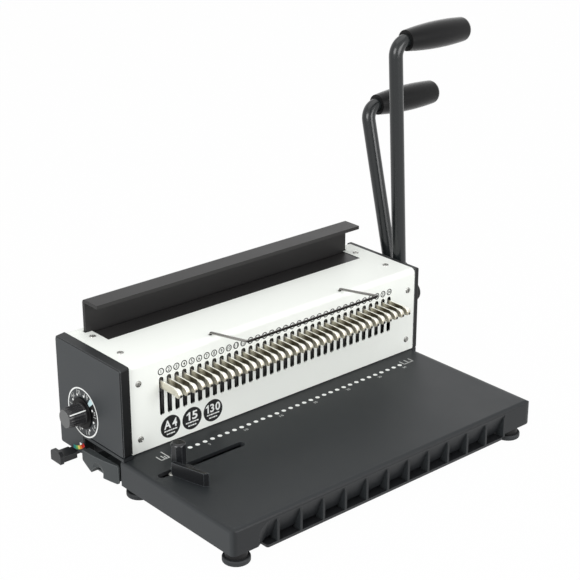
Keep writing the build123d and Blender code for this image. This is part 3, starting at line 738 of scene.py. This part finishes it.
PULL_HIGH = 63.4
PULL_LOW = 55.6
PULL_TIP = 28.2
PULL_STATIONS = (15.5, 0.0, -12.0, -18.0, -19.4, -20.8, -22.0, -23.2)
NOSE_RADIUS = 4.6
NOSE_STEPS = 8
NOSE_RISE = 1.3
CORNER_STEPS = 3
PAD_START = -18.0
PAD_LENGTH = 5.2
STEM_HALF = 0.8
PAD_WIDENING = 1.2
PAD_DROP = 0.5
STEM_CORNER = 0.28
CORNER_GROWTH = 0.55
CORNER_LIMIT = 0.9
# Radius and height of each ring of the black cup at the nose's tip, painted shade
TIP_RINGS = ((1.25, -0.12), (1.05, -0.2), (0.95, -0.16), (0.8, 0.0))
TIP_SIDES = 20
TIP_X = 0.5
TIP_RISE = 2.2


def pull_shape():
    """Stamped pull on edge that widens to a pad, its nose rolled over to the front."""
    stations = list(PULL_STATIONS)
    for step in range(1, NOSE_STEPS + 1):
        bend = NOSE_RADIUS * math.sin(math.pi / 2 * step / NOSE_STEPS)
        stations.append(NOSE_RADIUS - PULL_TIP - bend)
    points = []
    for y in stations:
        into = max(0.0, min(1.0, (PAD_START - y) / PAD_LENGTH))
        smooth = into * into * (3 - 2 * into)
        half = STEM_HALF + PAD_WIDENING * smooth
        past = max(0.0, (NOSE_RADIUS - PULL_TIP - y) / NOSE_RADIUS)
        roll = 1 - math.sqrt(max(0.0, 1 - past * past))
        high = PULL_HIGH - NOSE_RADIUS * roll
        low = PULL_LOW + PAD_DROP * (1 - smooth) + NOSE_RISE * roll
        r = min(STEM_CORNER + CORNER_GROWTH * smooth, half * CORNER_LIMIT)
        for x, z in rounded(2 * half, high - low, r, CORNER_STEPS):
            points.append(at(x, y, (high + low) / 2 + z))
    count = 4 * (CORNER_STEPS + 1)
    last = len(stations) - 1
    faces = hull_faces(0, last, count)
    faces.append(tuple(reversed(ring_cap(0, count))))
    faces.append(ring_cap(last, count))
    return points, faces


def pull_tip():
    """Black shallow cup at the lower front of the rolled nose: painted shade."""
    points = []
    for r, out in TIP_RINGS:
        for x, z in circle(r, TIP_SIDES):
            points.append(at(TIP_X + x, -PULL_TIP + out, PULL_LOW + TIP_RISE + z))
    last = len(TIP_RINGS) - 1
    return points, hull_faces(0, last, TIP_SIDES) + [ring_cap(last, TIP_SIDES)]


def pulls():
    shape = pull_shape()
    count = len(shape[1])
    join(shape, pull_tip())
    for index in range(HOLES):
        shift = Vector((hole_x(index) / 1000, 0, 0))
        number = "%02d" % (index + 1)
        o = piece(
            "stamped_pull_" + number, ([p + shift for p in shape[0]], shape[1]),
            NICKEL if index else NICKEL_END, "pull_" + number,
        )
        # The cup takes the black material: painted shade under the nose.
        o.data.materials.append(BLACK_INK_AND_SHADE)
        for face in o.data.polygons[count:]:
            face.material_index = 1
        crease(o, 40)
        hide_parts("pin_pull_" + number)


# Dial knob

KNOB_BASE = LEFT_FACE - 0.4
KNOB_TIP = -206.2
KNOB_SIDES = 240
# Place along x and radius of each ring, from the skirt to the end of the grip
KNOB_PROFILE = (
    (KNOB_BASE, 0.0), (KNOB_BASE, 14.6), (KNOB_BASE - 0.3, 14.8), (KNOB_BASE - 1.3, 14.8),
    (KNOB_BASE - 1.6, 14.5), (KNOB_BASE - 1.8, 10.8), (KNOB_BASE - 2.4, 10.2),
    (KNOB_BASE - 4.0, 9.8), (KNOB_TIP + 6.0, 9.0), (KNOB_TIP + 0.9, 8.6), (KNOB_TIP + 0.3, 8.4),
    (KNOB_TIP, 7.9), (KNOB_TIP + 0.2, 7.4), (KNOB_TIP + 0.35, 0.0),
)
FLUTES = 24
FLUTE_HEIGHT = 0.35
FLUTED = (KNOB_TIP + 0.5, KNOB_BASE - 3.0)
END_DEPTH = 0.0012
END_RADIUS = 0.0083
SKIRT_DEPTH = 2.5
RIB_TURN = math.radians(36)
# Width, inner and outer radius, and both ends along x
RIB = (2.6, 8.0, 10.2, KNOB_TIP + 0.4, KNOB_BASE - 1.6)
RIB_LINE = (1.3, 10.0, 10.5, KNOB_TIP + 0.6, KNOB_BASE - 1.7)


def dial_knob():
    """Turned knob with shallow flutes, a flat skirt and a raised pointer along the grip."""
    points = []
    for x, r in KNOB_PROFILE:
        fluted = FLUTED[0] < x < FLUTED[1]
        for i in range(KNOB_SIDES):
            a = 2 * math.pi * i / KNOB_SIDES
            out = r
            if fluted:
                out += FLUTE_HEIGHT * max(0.0, math.cos(FLUTES * a)) ** 3
            points.append(at(x, DIAL_Y - out * math.cos(a), DIAL_Z + out * math.sin(a)))
    last = len(KNOB_PROFILE) - 2
    faces = hull_faces(1, last, KNOB_SIDES, flip=True)
    faces.append(ring_cap(last, KNOB_SIDES))
    o = piece("size_dial_knob", (points, faces), GLOSS, "dial")
    o.data.materials.append(LIT_KNOB_END)
    o.data.materials.append(KNOB_SKIRT)
    axis = at(KNOB_TIP, DIAL_Y, DIAL_Z)
    skirt = at(KNOB_BASE - SKIRT_DEPTH, 0, 0).x
    for face in o.data.polygons:
        offset = face.center - axis
        is_cap = len(face.vertices) > 4
        # Faces at the grip's end take the lighter copy of the plastic: painted light.
        if offset.x < END_DEPTH and (offset.yz.length < END_RADIUS or is_cap):
            face.material_index = 1
        elif face.center.x > skirt:
            face.material_index = 2
    crease(o, 40)
    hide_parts("dial_knob")
    crease(piece("dial_rib", rib(*RIB), GLOSS, "dial"), 35)
    crease(piece("dial_line", rib(*RIB_LINE), WHITE_INK, "dial"), 35)


def rib(width, r0, r1, x0, x1):
    """Bar along the knob between two radii, its top a little narrower."""
    c, s = math.cos(RIB_TURN), math.sin(RIB_TURN)
    points = []
    for x in (x0, x1):
        for side, r in ((-1, r0), (1, r0), (0.8, r1), (-0.8, r1)):
            across = side * width / 2
            points.append(at(x, DIAL_Y - r * c - across * s, DIAL_Z + r * s - across * c))
    faces = [(0, 1, 2, 3), (7, 6, 5, 4), (0, 4, 5, 1), (1, 5, 6, 2), (2, 6, 7, 3), (3, 7, 4, 0)]
    return points, faces


# Eyelet of the paper guide

EYELET_X = -166.8
EYELET_Y = -48.6
# Radius and height of each ring, and last the middle
EYELET_PROFILE = (
    (2.7, 0.05), (2.7, 0.7), (2.45, 1.0), (1.7, 1.0), (1.45, 0.7), (1.2, 0.5), (0.7, 0.85),
    (0.0, 0.95),
)
EYELET_SIDES = 40


def eyelet():
    points = []
    for r, z in EYELET_PROFILE[:-1]:
        points += [at(EYELET_X + u, EYELET_Y + v, z) for u, v in circle(r, EYELET_SIDES)]
    middle = len(points)
    points.append(at(EYELET_X, EYELET_Y, EYELET_PROFILE[-1][1]))
    last = len(EYELET_PROFILE) - 2
    faces = hull_faces(0, last, EYELET_SIDES)
    ring = ring_cap(last, EYELET_SIDES)
    faces += [(a, b, middle) for a, b in zip(ring, ring[1:] + ring[:1])]
    crease(piece("guide_eyelet", (points, faces), ZINC, "guide"), 50)


# Studio

PLAIN_WHITE = (1, 1, 1, 1)
FLOOR_GREY = (0.6, 0.6, 0.6, 1)
FLOOR_GLOW = 0.985
FLOOR_HALF = 6.0
WORLD_STRENGTH = 0.6
FOCAL_PIXELS = 1500.1
IMAGE_PIXELS = 580
SENSOR = 36.0
CAMERA_PLACE = (-833.3, -970.4, 634.9)
CAMERA_AZIMUTH = math.radians(-40.99)
CAMERA_ELEVATION = math.radians(22.25)
# Each lamp: its name, place, target, size and power
LAMPS = (
    ("key", (-1.8, -0.5, 1.2), (0, 0, 0.08), (1.2, 1.0), 26),
    ("top", (0.1, 0.2, 1.8), (0, 0, 0.05), (1.6, 1.4), 6),
    ("fill", (0.3, -1.9, 0.8), (0.05, 0, 0.1), (1.4, 0.9), 21),
    ("sheen", (1.6, 1.2, 0.8), (0.12, -0.1, 0.04), (0.9, 0.6), 1),
)


def seen_rays(tree):
    """Rays that see the plain background: camera, glossy and transmission rays."""
    path = tree.nodes.new("ShaderNodeLightPath")
    result = path.outputs["Is Camera Ray"]
    for name in ("Is Glossy Ray", "Is Transmission Ray"):
        either = tree.nodes.new("ShaderNodeMath")
        either.operation = "MAXIMUM"
        result = connect(tree, either, {0: result, 1: path.outputs[name]}).outputs["Value"]
    return result


def either_shader(tree, share, first, second, end):
    """Mix two shaders and show the result at the tree's end."""
    mix = tree.nodes.new("ShaderNodeMixShader")
    connect(tree, mix, {"Fac": share, 1: first, 2: second})
    connect(tree, tree.nodes[end], {"Surface": mix.outputs["Shader"]})


def floor():
    m = bpy.data.materials.new("studio_floor")
    m.use_nodes = True
    tree = m.node_tree
    shader = tree.nodes["Principled BSDF"]
    connect(tree, shader, {"Base Color": FLOOR_GREY, "Roughness": 0.9})
    glow = tree.nodes.new("ShaderNodeEmission")
    connect(tree, glow, {"Color": PLAIN_WHITE, "Strength": 1.0})
    share = tree.nodes.new("ShaderNodeMath")
    share.operation = "MULTIPLY"
    connect(tree, share, {0: seen_rays(tree), 1: FLOOR_GLOW})
    either_shader(
        tree, share.outputs["Value"], shader.outputs["BSDF"], glow.outputs["Emission"],
        "Material Output",
    )
    mesh = bpy.data.meshes.new("studio_floor")
    r = FLOOR_HALF
    mesh.from_pydata([(-r, -r, 0), (r, -r, 0), (r, r, 0), (-r, r, 0)], [], [(0, 1, 2, 3)])
    mesh.materials.append(m)
    o = bpy.data.objects.new("studio_floor", mesh)
    bpy.context.scene.collection.objects.link(o)


def world():
    w = bpy.data.worlds.new("studio")
    bpy.context.scene.world = w
    w.use_nodes = True
    tree = w.node_tree
    light = tree.nodes["Background"]
    connect(tree, light, {"Color": PLAIN_WHITE, "Strength": WORLD_STRENGTH})
    seen = tree.nodes.new("ShaderNodeBackground")
    connect(tree, seen, {"Color": PLAIN_WHITE, "Strength": 1.0})
    either_shader(
        tree, seen_rays(tree), light.outputs["Background"], seen.outputs["Background"],
        "World Output",
    )


def lamp(name, place, target, size, power):
    data = bpy.data.lights.new(name, "AREA")
    data.shape = "RECTANGLE"
    data.size, data.size_y = size
    data.energy = power
    o = bpy.data.objects.new(name, data)
    bpy.context.scene.collection.objects.link(o)
    o.location = place
    o.rotation_mode = "QUATERNION"
    o.rotation_quaternion = (Vector(target) - Vector(place)).to_track_quat("-Z", "Y")


def shot():
    scene = bpy.context.scene
    scene.view_settings.view_transform = "Standard"
    camera = bpy.data.objects.new("camera", bpy.data.cameras.new("camera"))
    scene.collection.objects.link(camera)
    scene.camera = camera
    back = Vector((
        math.sin(CAMERA_AZIMUTH) * math.cos(CAMERA_ELEVATION),
        -math.cos(CAMERA_AZIMUTH) * math.cos(CAMERA_ELEVATION),
        math.sin(CAMERA_ELEVATION),
    ))
    camera.location = at(*CAMERA_PLACE)
    camera.rotation_mode = "QUATERNION"
    camera.rotation_quaternion = (-back).to_track_quat("-Z", "Y")
    camera.data.sensor_width = SENSOR
    camera.data.lens = FOCAL_PIXELS / IMAGE_PIXELS * SENSOR
    camera.data.clip_start = 0.05
    camera.data.clip_end = 50.0


cover_prints()
bed_prints()
dial_prints()
colour_marks()
screws()
pulls()
dial_knob()
eyelet()
floor()
world()
for row in LAMPS:
    lamp(*row)
shot()
